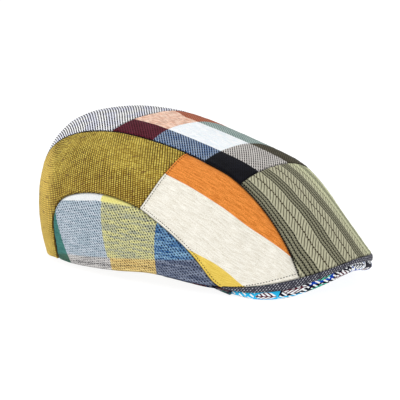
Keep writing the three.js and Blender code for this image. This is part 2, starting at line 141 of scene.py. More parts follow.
# Rows of stitches: length, gap, radius, how deep the ends dip, the turn of each in radians, and
# the cloth's slot and the thread
STITCHES = {
    # dark stitches in the strip seams, also standing in for the shadow in the seam: partly painted shadow
    "strip_seam_thread_and_shadow": (1.5, 0.35, 0.5, 0.2, 0.4, "mustard_cloth", "dark_thread_and_seam_shadow"),
    # dark thread laid deep in the arch seam's gap at the back, standing in for its shadow: painted shadow
    "arch_seam_shadow_thread": (1.7, 0.2, 0.42, 0.1, 0, "plaid_cloth", "dark_thread_and_seam_shadow"),
    "front_topstitch": (1.35, 0.65, 0.27, 0.2, 0, "colour_block_cloth", "grey_thread"),
    "hem_topstitch": (2.4, 0.8, 0.25, 0.24, 0, "plaid_cloth", "grey_thread"),
}
# One stitch: places along its length and thickness there, as shares
STITCH_SHAPE = [(-0.5, 0.15), (-0.44, 0.7), (-0.2, 1), (0.2, 1), (0.44, 0.7), (0.5, 0.15)]
STITCH_SIDES = 6
STITCH_FLATNESS = 0.8
# Where the rows run: hoops, places down, and millimetres in from the seam and up from the cloth
STRIP_THREAD_HOOPS = (0.25, PEAK_EDGE - 0.05)
STRIP_THREAD_LIFT = -0.3
# the arch seam's dark thread is painted shadow in the gap
ARCH_SHADOW_THREAD_INSET, ARCH_SHADOW_THREAD_LIFT = 0.3, -0.8
EDGE_STITCH_HOOP, EDGE_STITCH_DOWN = PEAK_EDGE - 0.13, (0.02, 0.93)
TOPSTITCH_INSET, TOPSTITCH_LIFT = 1.9, 0.06
HEM_STITCH_HOOPS, HEM_STITCH_RISE = (0.75, 5.6), 5.2

# Camera, as in the photograph
PHOTO_SIZE = 400  # pixels each way
PHOTO_SCALE = 1.36  # pixels per millimetre at the target
VIEW_AZIMUTH, VIEW_ELEVATION = math.radians(40), math.radians(14)
VIEW_TARGET = np.array([0.0, -25.0, 49.0])
VIEW_DISTANCE = 1500.0

rng = np.random.default_rng(7)


# Surface of the cap

def blend_rows(table, s):
    """Rows of a table blended at places s by a uniform cubic B-spline."""
    padded = np.vstack([2 * table[0] - table[1], table, 2 * table[-1] - table[-2]])
    s = np.clip(np.asarray(s, float), 0, len(table) - 1)
    i = np.minimum(s.astype(int), len(table) - 2)
    f = (s - i)[..., None]
    weights = [(1 - f) ** 3, 3 * f**3 - 6 * f**2 + 4, -3 * f**3 + 3 * f**2 + 3 * f + 1, f**3]
    return sum(w * padded[i + k] for k, w in enumerate(weights)) / 6


def hoop_at(s, side):
    """Values of half a hoop; side is negative for the right half, positive for the left one."""
    h = dict(zip(HOOP_COLUMNS, np.moveaxis(blend_rows(HOOPS, s), -1, 0)))
    left = dict(zip(LEFT_COLUMNS, np.moveaxis(blend_rows(LEFT_HOOPS, s), -1, 0)))
    return h | {name: np.where(np.asarray(side) > 0, left[name], h[name]) for name in left}


def strip_angle(s, side):
    h = hoop_at(s, side)
    share = (h["strip_x"] / h["rim_x"]) ** h["square"]
    return np.arctan((share / (1 - share)) ** (1 / h["square"]))


def surface_point(s, angle):
    """Outer surface; angle is 0 at the middle and a quarter turn at each rim, minus to the right."""
    h = hoop_at(s, angle)
    turn = np.minimum(np.abs(angle), math.pi / 2)
    across, over = np.sin(turn), np.maximum(np.cos(turn), 0)
    size = (across ** h["square"] + over ** h["square"]) ** (1 / h["square"])
    height = np.minimum(over / size, 1)
    x = h["rim_x"] * across / size + h["bulge"] * np.sin(math.pi * height)
    y = h["rim_y"] + (h["top_y"] - h["rim_y"]) * over
    z = h["rim_z"] + (h["top_z"] - h["rim_z"]) * height ** h["droop"]
    return np.stack([np.sign(angle) * x, y, z], -1)


def unit(v):
    return v / np.maximum(np.linalg.norm(v, axis=-1, keepdims=True), 1e-9)


def surface_normal(s, angle):
    step, margin = 0.02, 0.16
    a = np.clip(angle, margin - math.pi / 2, math.pi / 2 - margin)
    b = np.clip(s, margin, PEAK_EDGE - margin)
    along = surface_point(b + step, a) - surface_point(b - step, a)
    across = surface_point(b, a + step) - surface_point(b, a - step)
    return unit(-np.cross(across, along))


def side_angle(s, down, side):
    start = strip_angle(s, side)
    return side * (start + down * (math.pi / 2 - start))


def side_point(s, down, side):
    return surface_point(s, side_angle(s, down, side))


def lean(v):
    """Leans a point or a direction forward with the cap."""
    y = v[..., 1] * math.cos(LEAN) - v[..., 2] * math.sin(LEAN)
    z = v[..., 2] * math.cos(LEAN) + v[..., 1] * math.sin(LEAN)
    return np.stack([v[..., 0], y, z], -1)


def settle(p):
    """Table millimetres to frame metres: leans the cap and moves the origin below its middle."""
    return (lean(p) + (0, CENTRE_Y, BASE_Z)) * MM


def cubic(start, end, leaving, arriving, f):
    """From start to end at shares f of the way, with the given speeds at both ends."""
    return ((2 * start - 2 * end + leaving + arriving) * f**3
            + (3 * end - 3 * start - 2 * leaving - arriving) * f**2 + leaving * f + start)


def seam_curve(rows):
    """A function of 0 to 1 that runs smoothly through the rows (uniform Catmull-Rom)."""
    p = np.array(rows, float)

    def at(t):
        place = np.clip(np.asarray(t, float), 0, 1) * (len(p) - 1)
        i = np.minimum(place.astype(int), len(p) - 2)
        f = (place - i)[..., None]
        before, beyond = p[np.maximum(i - 1, 0)], p[np.minimum(i + 2, len(p) - 1)]
        return cubic(p[i], p[i + 1], (p[i + 1] - before) / 2, (beyond - p[i]) / 2, f)

    return at


def down_at_hoop(line, s):
    """How far down a colour line lies at hoop s."""
    rows = seam_curve(line)(np.linspace(0, 1, 200))
    return np.interp(s, rows[:, 0], rows[:, 1])


def graded(count, grade=0.7):
    """0 to 1 in steps that are finer near both ends."""
    t = np.linspace(0, 1, count + 1)
    return t - grade / (2 * math.pi) * np.sin(2 * math.pi * t)


# Meshes

def make_mesh(name, points, faces, materials, uvs=None, second_from=None):
    """A mesh object; uvs maps a layer's name to a pair of values per point. Faces from index
    second_from on use the second material."""
    mesh = bpy.data.meshes.new(name)
    faces = np.asarray(faces, np.int32)
    size = faces.shape[1]
    mesh.vertices.add(len(points))
    mesh.vertices.foreach_set("co", np.asarray(points, np.float32).ravel())
    mesh.loops.add(faces.size)
    mesh.loops.foreach_set("vertex_index", faces.ravel())
    mesh.polygons.add(len(faces))
    mesh.polygons.foreach_set("loop_start", np.arange(0, faces.size, size, dtype=np.int32))
    if second_from is not None:
        second = (np.arange(len(faces)) >= second_from).astype(np.int32)
        mesh.polygons.foreach_set("material_index", second)
    for layer, values in (uvs or {}).items():
        uv = mesh.uv_layers.new(name=layer)
        uv.data.foreach_set("uv", np.asarray(values, np.float32)[faces.ravel()].ravel())
    mesh.update(calc_edges=True)
    mesh.validate()
    mesh.shade_smooth()
    mesh.set_sharp_from_angle(angle=SHARP_FOLD)
    for material in materials:
        mesh.materials.append(material)
    piece = bpy.data.objects.new(name, mesh)
    bpy.context.scene.collection.objects.link(piece)
    return piece


def attach(piece, node=None):
    """Ties a piece to the part, and hides the node whose place it takes, if it takes one."""
    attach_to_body(piece, "root")
    if node:
        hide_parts(node)
    return piece


def shell_faces(rows, columns):
    """Quads of a closed shell between an outer and an inner grid; the inner grid's come last."""
    at = np.arange(rows * columns).reshape(rows, columns)
    far = at + rows * columns

    def strip(a, b, c, d):
        return np.stack([a.ravel(), b.ravel(), c.ravel(), d.ravel()], 1)

    outer = strip(at[:-1, :-1], at[:-1, 1:], at[1:, 1:], at[1:, :-1])
    inner = strip(far[:-1, :-1], far[1:, :-1], far[1:, 1:], far[:-1, 1:])
    sides = [
        strip(at[:-1, 0], at[1:, 0], far[1:, 0], far[:-1, 0]),
        strip(at[1:, -1], at[:-1, -1], far[:-1, -1], far[1:, -1]),
        strip(at[0, 1:], at[0, :-1], far[0, :-1], far[0, 1:]),
        strip(at[-1, :-1], at[-1, 1:], far[-1, 1:], far[-1, :-1]),
    ]
    return np.vstack([outer, *sides, inner]), len(outer) + sum(map(len, sides))


def bar_faces(rows, size):
    """Quads of a closed bar through rows of rings of this size, with its two ends."""
    at = np.arange(rows * size).reshape(rows, size)
    following = np.roll(at, -1, axis=1)
    around = np.stack([at[:-1], following[:-1], following[1:], at[1:]], -1).reshape(-1, 4)
    first_end = np.array([[size - 1 - k, size - 2 - k, k + 1, k] for k in range(size // 2 - 1)])
    return np.vstack([around, first_end, at[-1][first_end[:, ::-1]]])


def faces_outward(points, faces):
    """The faces, turned over if they face inwards."""
    a, b, c, d = (points[faces[:, k]] for k in range(4))
    volume = (a * (np.cross(b, c) + np.cross(c, d))).sum()
    return faces if volume > 0 else faces[:, ::-1]


def run_length(points, axis):
    """Length run along each line of a grid, from zero at its start."""
    legs = np.linalg.norm(np.diff(points, axis=axis), axis=-1)
    start = np.zeros_like(np.take(legs, [0], axis=axis))
    return np.concatenate([start, np.cumsum(legs, axis=axis)], axis=axis)


def grain_layer(grid, normal, across_hint):
    """Millimetres across and along a cloth's grain at each point of a grid. The grain runs square
    to across_hint in the cloth; both are the best fit over the whole piece (conjugate gradients)."""
    grain = unit(np.cross(normal, across_hint))
    square = unit(np.cross(grain, normal))
    steps = [np.diff(grid, axis=k) for k in (0, 1)]
    sizes = [np.maximum(np.linalg.norm(step, axis=-1), 1e-3) for step in steps]
    spans = [size.mean() for size in sizes]
    weights = [spans[1 - k] / sizes[k] for k in (0, 1)]

    def pull(edges):
        """Sum over each point of what its edges pull towards it."""
        total = np.zeros(grid.shape[:2])
        total[1:] += edges[0]
        total[:-1] -= edges[0]
        total[:, 1:] += edges[1]
        total[:, :-1] -= edges[1]
        return total

    def stiffness(x):
        return pull([weights[k] * np.diff(x, axis=k) for k in (0, 1)])

    layer = []
    for direction in (square, grain):
        middles = [(direction[1:] + direction[:-1]) / 2, (direction[:, 1:] + direction[:, :-1]) / 2]
        wanted = [weights[k] * np.einsum("ijk,ijk->ij", middles[k], steps[k]) for k in (0, 1)]
        x = np.einsum("ijk,ijk->ij", direction, grid)
        rest = pull(wanted) - stiffness(x)
        search, power = rest.copy(), (rest * rest).sum()
        for _ in range(GRAIN_ROUNDS):
            turned = stiffness(search)
            size = power / max((search * turned).sum(), 1e-12)
            x, rest = x + size * search, rest - size * turned
            new_power = (rest * rest).sum()
            search, power = rest + new_power / max(power, 1e-12) * search, new_power
        layer.append(x)
    return layer


def ripples(u, v, length, waves=6):
    """Smooth uneven height over a cloth, from a few slanted waves."""
    turn = rng.uniform(0, 2 * math.pi, waves)
    size = length * rng.uniform(0.7, 1.6, waves)
    phase = rng.uniform(0, 2 * math.pi, waves)
    x, y = np.cos(turn) / size, np.sin(turn) / size
    return sum(np.sin(2 * math.pi * (u * x[k] + v * y[k]) + phase[k]) for k in range(waves)) / waves


# How a cloth's surface lies beside a seam: its height at the seam and how far that reaches, the
# height of the fold beside it and how far in that is, and the height of the waves along it
EDGES = {
    "plain": (-1.1, 0.9, 0.25, 2.4, 0.12),
    "under": (-1.3, 1.0, 0.0, 2.0, 0.15),
    "arch_over": (-0.5, 0.5, 0.35, 1.6, 0.15),
    "arch_under": (-1.5, 1.3, 0.0, 3.0, 0.2),
    "lapped": (-0.3, 0.35, 0.75, 1.1, 0.1),
    "sunk": (-1.4, 3.4, 0.0, 2.0, 0.1),
    "flat": (-0.6, 0.6, 0.1, 2.0, 0.06),
    "hem": (-0.5, 0.5, 0.15, 2.5, 0.1),
    "peak": (-0.3, 0.6, 0.25, 1.6, 0.06),
}


def edge_relief(kind, distance, along):
    edge, reach, crest, crest_at, pucker = EDGES[kind]
    rolled = edge * np.exp(-((distance / reach) ** 2))
    fold = crest * np.exp(-(((distance - crest_at) / (0.7 * crest_at)) ** 2))
    first, second = (along * 2 * math.pi / length for length in PUCKER_LENGTHS)
    waves = 0.6 * np.sin(first) + 0.4 * np.sin(second + 1)
    return rolled + fold + pucker * waves * np.exp(-distance / 4) * (1 - np.exp(-distance))


def cloth_panel(node, slot, s, angle, edges, pattern, sag=0.35):
    """A cloth wall over a grid of places, in the place of a node. edges names the kind of border of
    the grid's first and last row and first and last column. pattern takes the points, the normals
    and the millimetres run down the rows, and gives the pair of values that the material reads."""
    base, normal = surface_point(s, angle), surface_normal(s, angle)
    u, v = run_length(base, 0), run_length(base, 1)
    distances = (u, u[-1:] - u, v, v[:, -1:] - v)
    relief = sag * ripples(u, v, LONG_RIPPLE)
    relief += SHORT_RIPPLE_HEIGHT * ripples(u, v, SHORT_RIPPLE)
    nearest = np.full(u.shape, FAR)
    for kind, distance, along in zip(edges, distances, (v, v, u, u)):
        relief = relief + edge_relief(kind, distance, along)
        nearest = np.minimum(nearest, distance)
    walls = [settle(base + normal * (relief[..., None] - depth)) for depth in (0, WALL)]
    points = np.vstack([wall.reshape(-1, 3) for wall in walls])
    points[:, 2] = np.maximum(points[:, 2], 0)
    faces, second_from = shell_faces(*u.shape)
    hem = distances[edges.index("hem")] if "hem" in edges else np.full(u.shape, FAR)
    layers = {"cloth": (u, v), "pattern": pattern(base, normal, u), "edge": (nearest, hem)}
    uvs = {k: np.tile(np.stack([a.ravel(), b.ravel()], 1), (2, 1)) for k, (a, b) in layers.items()}
    piece = make_mesh(node.replace("panel", "cloth"), points, faces_outward(points, faces),
                      (cloths[slot], cloths["reverse"]), uvs, second_from)
    return attach(piece, node)


# Node materials. Num lets a node tree be written as plain arithmetic.

def linear(rgb):
    """An sRGB colour of 0 to 255 as linear red, green, blue and alpha."""
    c = np.array(rgb, float) / 255
    c = np.where(c <= 0.04045, c / 12.92, ((c + 0.055) / 1.055) ** 2.4)
    return (*c.tolist(), 1.0)


def new_node(tree, kind, inputs, **settings):
    """A shader node with these settings; inputs maps its inputs' numbers or names to numbers,
    sRGB triples, Nums or other nodes' outputs."""
    node = tree.nodes.new("ShaderNode" + kind)
    for name, value in settings.items():
        setattr(node, name, value)
    for key, item in inputs.items():
        value = item.value if isinstance(item, Num) else item
        if isinstance(value, tuple):
            node.inputs[key].default_value = linear(value)
        elif isinstance(value, (int, float)):
            node.inputs[key].default_value = value
        else:
            tree.links.new(value, node.inputs[key])
    return node


def new_material(name, settings):
    """A material and its shader, with these of the shader's inputs set."""
    material = bpy.data.materials.new(name)
    material.use_nodes = True
    shader = material.node_tree.nodes["Principled BSDF"]
    for key, value in settings.items():
        shader.inputs[key].default_value = value
    return material, shader


def operation(name):
    """A method of Num that puts it and other values through one operation of a Math node."""
    def method(self, *others):
        inputs = dict(enumerate((self, *others)))
        return Num(self.tree, new_node(self.tree, "Math", inputs, operation=name).outputs[0])

    return method


class Num:
    def __init__(self, tree, value):
        self.tree, self.value = tree, value

    __add__ = __radd__ = operation("ADD")
    __sub__ = operation("SUBTRACT")
    __mul__ = __rmul__ = operation("MULTIPLY")
    __truediv__ = operation("DIVIDE")
    frac = operation("FRACT")
    floor = operation("FLOOR")
    abs = operation("ABSOLUTE")
    sine = operation("SINE")
    least = operation("MINIMUM")
    most = operation("MAXIMUM")

    def __rsub__(self, other):
        return (self - other) * -1

    def hump(self):
        """Half a sine wave, 0 to 1 and back, over each whole step."""
        return (self.frac() * math.pi).sine()

    def ramp(self, low, high):
        """Rises smoothly from 0 at low to 1 at high; falls if low is above high."""
        if low > high:
            return 1 - self.ramp(high, low)
        inputs = {"From Min": low, "From Max": high, "Value": self}
        node = new_node(self.tree, "MapRange", inputs, interpolation_type="SMOOTHSTEP")
        return Num(self.tree, node.outputs["Result"])

    def past(self, line, soft):
        """0 before a line and 1 past it, with a soft border."""
        return self.ramp(line - soft, line + soft)

    def before(self, line, soft):
        """1 before a line and 0 past it, with a soft border."""
        return self.ramp(line + soft, line - soft)

    def band(self, middle, half, soft):
        """1 within half of middle, with soft borders."""
        return (self - middle).abs().before(half, soft)

    def stripes(self, half, soft):
        """1 within half of the middle of each whole step."""
        return self.frac().band(0.5, half, soft)


class Cloth:
    """One material: its tree and fabric shader, the panel's coordinates, and ways to mix colours."""

    def __init__(self, name, roughness=0.92):
        self.material, self.shader = new_material(name, {
            "Roughness": roughness, "Specular IOR Level": 0.12,
            "Sheen Weight": 0.04, "Sheen Roughness": 0.45})
        self.tree = self.material.node_tree

    def _parts(self, socket, count):
        split = new_node(self.tree, "SeparateXYZ", {0: socket})
        return [Num(self.tree, split.outputs[k]) for k in range(count)]

    def uv(self, layer):
        return self._parts(new_node(self.tree, "UVMap", {}, uv_map=layer).outputs[0], 2)

    def place(self):
        """Object position, in millimetres of the frame."""
        where = new_node(self.tree, "TexCoord", {}).outputs["Object"]
        return [part * 1000 for part in self._parts(where, 3)]

    def noise(self, u, v, detail=2.0):
        """Noise from 0 to 1 over two coordinates."""
        join = new_node(self.tree, "CombineXYZ", {0: u, 1: v})
        inputs = {"Vector": join.outputs[0], "Scale": 1.0, "Detail": detail}
        return Num(self.tree, new_node(self.tree, "TexNoise", inputs).outputs[0])

    def scatter(self, u, v):
        """A random number from 0 to 1 for each whole-numbered cell of two coordinates."""
        join = new_node(self.tree, "CombineXYZ", {0: u.floor(), 1: v.floor()})
        inputs = {"Vector": join.outputs[0]}
        node = new_node(self.tree, "TexWhiteNoise", inputs, noise_dimensions="2D")
        return Num(self.tree, node.outputs["Value"])

    def plain(self, rgb):
        node = new_node(self.tree, "RGB", {})
        node.outputs[0].default_value = linear(rgb)
        return node.outputs[0]

    def mix(self, share, first, second):
        """first where share is 0, second where it is 1; colours are sockets or sRGB triples."""
        inputs = {0: share, 6: first, 7: second}
        return new_node(self.tree, "Mix", inputs, data_type="RGBA").outputs[2]

    def lay(self, colour, layers):
        """Lays colours over one another, each a pair of its share and the colour."""
        for share, over in layers:
            colour = self.mix(share, colour, over)
        return colour

    def shade(self, colour, amount):
        """Multiplies a colour by an amount around 1."""
        inputs = {0: colour, "Scale": amount}
        return new_node(self.tree, "VectorMath", inputs, operation="SCALE").outputs[0]

    def dirt_and_painted_light(self, colour):
        """Soft dirt and painted shade in the seams, painted shade in the crease along the hem's stitches,
        and painted highlight on the folds.
        """
        nearest, hem = self.uv("edge")
        u, v = self.uv("cloth")
        patchy = self.noise(u * 0.12, v * 0.12, 3.0)
        # dark: soft dirt and painted shade near the seams, and painted shade in the crease along the hem
        dark = 1 - nearest.ramp(1.3, 0.0) * 0.5 - hem.band(4.9, 0.35, 0.6) * 0.22 * patchy.ramp(0.3, 0.5)
        # painted highlight along the fold beside each seam
        painted_fold_highlight = 1 + nearest.band(1.9, 0.5, 0.5) * 0.1 * patchy.ramp(0.35, 0.65)
        return self.shade(colour, dark * painted_fold_highlight * (0.94 + patchy * 0.12))

    def finish(self, colour, height, depth):
        """Connects colour and the height of the weave; depth is the relief in millimetres."""
        bump = new_node(self.tree, "Bump", {"Strength": 0.8, "Distance": depth * MM, "Height": height})
        self.tree.links.new(colour, self.shader.inputs["Base Color"])
        self.tree.links.new(bump.outputs[0], self.shader.inputs["Normal"])
        return self.material


def plain_weave(u, v, pitch):
    """Height of a plain weave from 0 to 1."""
    a, b = u / pitch, v / pitch
    over = ((a.floor() + b.floor()) * 0.5).frac() * 2
    return over * a.hump() + (1 - over) * b.hump()


def reverse_cloth():
    """Plain cotton on the inside of every panel."""
    c = Cloth("reverse_cotton")
    u, v = c.uv("cloth")
    height = plain_weave(u, v, 0.9)
    tone = 0.72 + height * 0.3 + c.noise(u * 0.3, v * 0.3, 3.0) * 0.12
    return c.finish(c.dirt_and_painted_light(c.shade(c.plain((176, 168, 150)), tone)), height, 0.15)


def houndstooth_cloth():
    """Slanted dark strokes on white, each broken along its length and set off from the next. The
    pattern layer holds the millimetres across and along the strip."""
    c = Cloth("houndstooth_weave")
    across, along = c.uv("pattern")
    wobble = c.noise(across * 0.02, along * 0.02) * 1.2
    stroke = across * 0.36 - along * 0.385 + wobble
    step = across / 2.3 + stroke.floor() * 0.5
    dark_stroke = stroke.stripes(0.28, 0.06) * (0.6 + 0.4 * step.stripes(0.36, 0.06))
    patches = c.noise(across * 0.06, along * 0.06).ramp(0.35, 0.55)
    bluish = c.noise(across * 0.1, along * 0.1).ramp(0.4, 0.6)
    colour = c.lay((255, 255, 255), [
        (bluish, (236, 238, 252)),
        (dark_stroke * (0.84 + patches * 0.16), (5, 6, 12)),
    ])
    return c.finish(c.dirt_and_painted_light(colour), 1 - dark_stroke * 0.6, 0.25)


def mustard_cloth():
    """Columns of short dashes; the pattern layer follows the cloth's grain. A pale yellow band of painted
    highlight lies at the back corner, and the cloth is browner low behind it: its own tone and painted
    shade."""
    c = Cloth("mustard_weave")
    u, v = c.uv("pattern")
    x, y, z = c.place()
    column = (u + c.noise(u * 0.08, v * 0.08) * 1.2) / 1.82
    dash = (v + c.scatter(column, column) * 0.3) / 1.6
    thread = column.hump()
    gap = dash.stripes(0.2, 0.1)
    blotch = c.noise(u * 0.07, v * 0.09, 3.0).ramp(0.42, 0.66)
    # how far out towards the back corner
    corner = x.abs() * GRAIN_ACROSS[0] - (y - 7) * GRAIN_ACROSS[1]
    corner = corner + c.noise(u * 0.1, v * 0.1, 3.0) * 8
    # painted highlight: a pale yellow glow of light in a band at the back corner, which also pales the
    # dark gaps
    painted_corner_glow = corner.ramp(107, 116) * corner.ramp(131, 120) * 0.62
    loose = 0.74 + 0.26 * c.noise(u * 0.03, v * 0.03).ramp(0.36, 0.56)
    gaps = (gap * 0.85).most(thread.ramp(0.8, 0.3)) * loose * (1 - painted_corner_glow * 0.5)
    fleck = c.noise(u * 0.13, v * 0.4, 1.0).ramp(0.62, 0.72)
    # browner and darker low down behind the glow, partly the cloth's tone and partly painted shade
    low = z.ramp(92, 50) * y.ramp(100, 60)
    colour = c.lay(c.mix(c.scatter(column, dash), (194, 164, 62), (248, 222, 104)), [
        (blotch * 0.25, (176, 144, 60)),
        (painted_corner_glow, (255, 216, 108)),
        (gaps, (56, 38, 8)),
        (fleck * 0.5, (84, 50, 42)),
        (low * 0.34, (112, 72, 20)),
    ])
    return c.finish(c.dirt_and_painted_light(colour), thread * (1 - gap * 0.7), 0.45)


def check_cloths():
    """Nine woven squares: the pattern layer holds the hoop and the share across the strip."""
    c = Cloth("check_weave")
    u, v = c.uv("cloth")
    hoop, across = c.uv("pattern")
    fine = c.noise(u * 1.3, v * 1.3).ramp(0.3, 0.5)
    streak = c.noise(u * 0.14, v * 0.7, 3.0).ramp(0.42, 0.62)
    cloud = c.noise(u * 0.1, v * 0.1)
    broken = c.noise(u * 0.22, v * 1.1, 1.0).ramp(0.4, 0.6)
    slant = u / 2.3 + v * 0.42
    row = v / 2.6 + slant.floor() * 0.5
    dash = slant.stripes(0.25, 0.08) * row.stripes(0.38, 0.08)
    light = slant.frac().band(0.0, 0.24, 0.08) * row.stripes(0.42, 0.08)
    thread_line = (v / 1.9 + cloud * 2.0).stripes(0.26, 0.16) * broken

    def tweed(base, dark, pale, dashes, lights):
        return c.lay(base, [
            (cloud.ramp(0.3, 0.7) * 0.2, pale),
            (light * fine * lights, pale),
            (dash * dashes, dark),
        ])

    def streaky(base, tint, thread, amount):
        return c.lay(base, [(streak * amount, tint), (thread_line * amount, thread)])

    def in_three(value, lines, soft, cloths):
        return c.lay(cloths[0], [
            (value.past(lines[0], soft), cloths[1]),
            (value.past(lines[1], soft), cloths[2]),
        ])

    near = [tweed((82, 12, 30), (24, 0, 8), (136, 64, 84), 0.75, 0.35),
            tweed((64, 99, 148), (8, 20, 42), (226, 236, 240), 1.0, 0.62),
            tweed((4, 3, 8), (0, 0, 2), (30, 32, 48), 0.6, 0.3)]
    middle = [streaky((255, 226, 206), (244, 188, 160), (160, 108, 84), 0.9),
              streaky((255, 255, 255), (222, 242, 248), (206, 220, 240), 0.45),
              tweed((192, 186, 182), (34, 28, 28), (246, 244, 238), 1.0, 0.7)]
    far = [tweed((174, 92, 62), (104, 50, 34), (206, 142, 110), 0.6, 0.4),
           tweed((146, 166, 162), (74, 96, 94), (214, 226, 220), 0.8, 0.5),
           tweed((62, 56, 40), (16, 12, 8), (120, 114, 90), 0.8, 0.5)]
    rows = [in_three(hoop, CHECK_COLUMNS, 0.012, cloths) for cloths in (near, middle, far)]
    colour = in_three(across, CHECK_ROWS, 0.008, rows)
    return c.finish(c.dirt_and_painted_light(colour), 0.6 - dash * 0.4 + plain_weave(u, v, 1.1) * 0.3, 0.3)


def sage_cloth():
    """Ladder stripes run front to back at fixed places across the peak, slanted strokes between.
    The pattern layer holds x in table millimetres and the millimetres run from the front seam."""
    c = Cloth("sage_stripe_weave")
    x, along = c.uv("pattern")
    repeat, rung_pitch = 21.5, 2.15
    wobble = (c.noise(along * 0.04, x * 0.04) - 0.5) * 3.0
    place = (x + wobble + 13.5) / repeat + 20.5
    offset = (place.frac() - 0.5) * repeat
    apart = offset.abs()  # from a ladder's middle
    dashes = (along / rung_pitch).stripes(0.3, 0.07)
    rails = apart.band(1.25, 0.5, 0.12).most(apart.band(3.75, 0.5, 0.12))
    rungs = apart.ramp(4.0, 3.6) * (along / rung_pitch).frac().band(0.0, 0.16, 0.06)
    line_between = apart.band(repeat / 2, 0.55, 0.2)
    bend = (c.noise(along * 0.07, x * 0.07) - 0.5) * 0.9
    slant = offset * 0.34 + along * 0.31 + bend + place.floor() * 0.5
    herring = slant.stripes(0.17, 0.09) * apart.ramp(4.7, 5.3)
    # far: painted light, the cloth paler and yellower with fainter strokes towards the far side
    far = x.ramp(4, 32)
    colour = c.lay((204, 201, 172), [
        (c.noise(x * 0.8, along * 0.12), (162, 159, 134)),
        (far * 0.75, (222, 226, 180)),
        (herring * (0.8 - far * 0.5), (52, 48, 32)),
        (apart.ramp(4.8, 4.2) * (0.6 - far * 0.3), (92, 90, 70)),
        (rungs * 0.85, (22, 20, 12)),
        (line_between * (0.3 + 0.7 * dashes), (48, 36, 16)),
        (rails * (0.35 + 0.65 * dashes), (8, 8, 4)),
    ])
    return c.finish(c.dirt_and_painted_light(colour), 0.5 - herring * 0.3 - rails * 0.4 + dashes * rails * 0.3, 0.35)


def plaid_cloth():
    """Soft squares of colour in a fine broken twill; the pattern layer holds y and z in table
    millimetres."""
    c = Cloth("plaid_weave")
    y, z = c.uv("pattern")
    pitch = 1.3
    rib = (y - z) / (2 * pitch)
    rib_cut = (y + z) / 3.0 + rib.floor() * 0.5
    loose = 0.4 + 0.6 * c.noise(y * 0.5, z * 0.9, 1.0).ramp(0.32, 0.56)
    diagonal = rib.stripes(0.27, 0.08) * rib_cut.stripes(0.36, 0.08) * loose
    speck = c.scatter(y / pitch, z / pitch)
    streak = c.noise(y * 0.05, z * 0.5).ramp(0.4, 0.6)
    cloud = c.noise(y * 0.07, z * 0.12, 3.0)

    def woven(first, second, dark, amount):
        return c.lay(first, [
            (streak * 0.6 + speck * 0.4, second),
            (diagonal * (0.6 + speck * 0.4) * amount, dark),
        ])

    light_blue = woven((218, 228, 238), (176, 196, 208), (34, 54, 84), 1.2)
    green_yellow = woven((242, 236, 160), (180, 184, 164), (44, 50, 48), 1.15)
    royal = woven((150, 194, 226), (44, 98, 158), (2, 16, 52), 1.3)
    mauve = woven((238, 234, 230), (188, 186, 186), (44, 40, 48), 1.25)
    tan = woven((252, 224, 148), (226, 190, 118), (76, 58, 36), 1.15)
    purple = woven((150, 160, 182), (80, 92, 120), (14, 18, 42), 1.25)
    teal = woven((76, 140, 132), (58, 118, 112), (28, 76, 74), 0.55)
    deep_teal = woven((78, 120, 100), (58, 98, 84), (28, 56, 50), 0.6)
    white = woven((255, 255, 255), (246, 250, 250), (214, 226, 234), 0.3)
    straw = woven((252, 246, 160), (246, 236, 140), (214, 200, 100), 0.45)

    # where each colour starts, in y from the back to the front
    teal_y, straw_y, green_y, tan_y, royal_y = 34.0, -2.7, -8.9, -10.8, -51.9
    soft = 0.3
    above_low = z - 14.0 - (34.4 - y) * 0.137
    above_body = z - ((39 - y) * 0.155 + 54.6).least(60.5)
    low = c.lay(mauve, [(y.before(tan_y, soft), tan), (y.before(royal_y, soft), purple)])
    top = c.mix(y.before(straw_y, soft), white, straw)
    back = c.mix(above_low.before(0, 1.5), teal, deep_teal)
    colour = c.lay(light_blue, [
        ((y - (z - 20) * 0.13).before(green_y, soft), green_yellow),
        (y.before(royal_y, soft), royal),
        (above_low.before(0, 0.9), low),
        (above_body.past(0, soft) * y.ramp(-29.0, -27.5), top),
        ((y - (z - 12) * 0.24).past(teal_y, soft), back),
    ])
    weave = plain_weave(y, z, pitch)
    return c.finish(c.dirt_and_painted_light(c.shade(colour, 0.79 + cloud * 0.18)), weave * 0.5 + diagonal * 0.5, 0.3)


def block_cloth():
    """Linen in orange, cream and yellow; the pattern layer holds the distances in millimetres
    below the orange line and below the yellow line."""
    c = Cloth("colour_block_linen")
    u, _ = c.uv("cloth")
    below_orange, below_yellow = c.uv("pattern")
    weave = plain_weave(u, below_orange, 0.85)
    grain = c.noise(u * 1.1, below_orange * 2.1, 1.0)
    across_grain = c.noise(u * 6.3, below_orange * 1.5, 1.0)
    slub = c.noise(u * 0.12, below_orange * 1.1, 1.0)
    fleck = c.noise(u * 0.35, below_orange * 1.6, 1.0).ramp(0.68, 0.76)
    tone = grain * 0.4 + across_grain * 0.25 + slub * 0.35
    darker = tone.ramp(0.36, 0.64)
    orange = c.mix(darker, (248, 158, 74), (196, 106, 34))
    cream = c.lay((253, 250, 240), [(darker, (220, 213, 196)), (fleck * 0.6, (164, 152, 122))])
    yellow = c.mix(tone.ramp(0.34, 0.66), (246, 218, 108), (214, 178, 66))
    colour = c.lay(orange, [(below_orange.past(0, 0.25), cream), (below_yellow.past(0, 0.25), yellow)])
    return c.finish(c.dirt_and_painted_light(c.shade(colour, 0.97 + weave * 0.06)), weave * 0.5 + tone * 0.5, 0.16)


def binding_cloth():
    """Dark twill with slanted white dashes."""
    c = Cloth("dark_twill")
    u, v = c.uv("cloth")
    slant = u / 2.4 + v / 2.2
    cut = v / 2.0 - u / 4.0 + slant.floor() * 0.5
    dash = slant.stripes(0.16, 0.08) * cut.stripes(0.3, 0.08)
    tone = c.noise(u * 0.3, v * 0.5)
    colour = c.lay((68, 68, 80), [(tone, (30, 30, 40)), (dash * tone.ramp(0.3, 0.6), (198, 198, 206))])
    return c.finish(colour, 0.4 + dash * 0.6, 0.3)


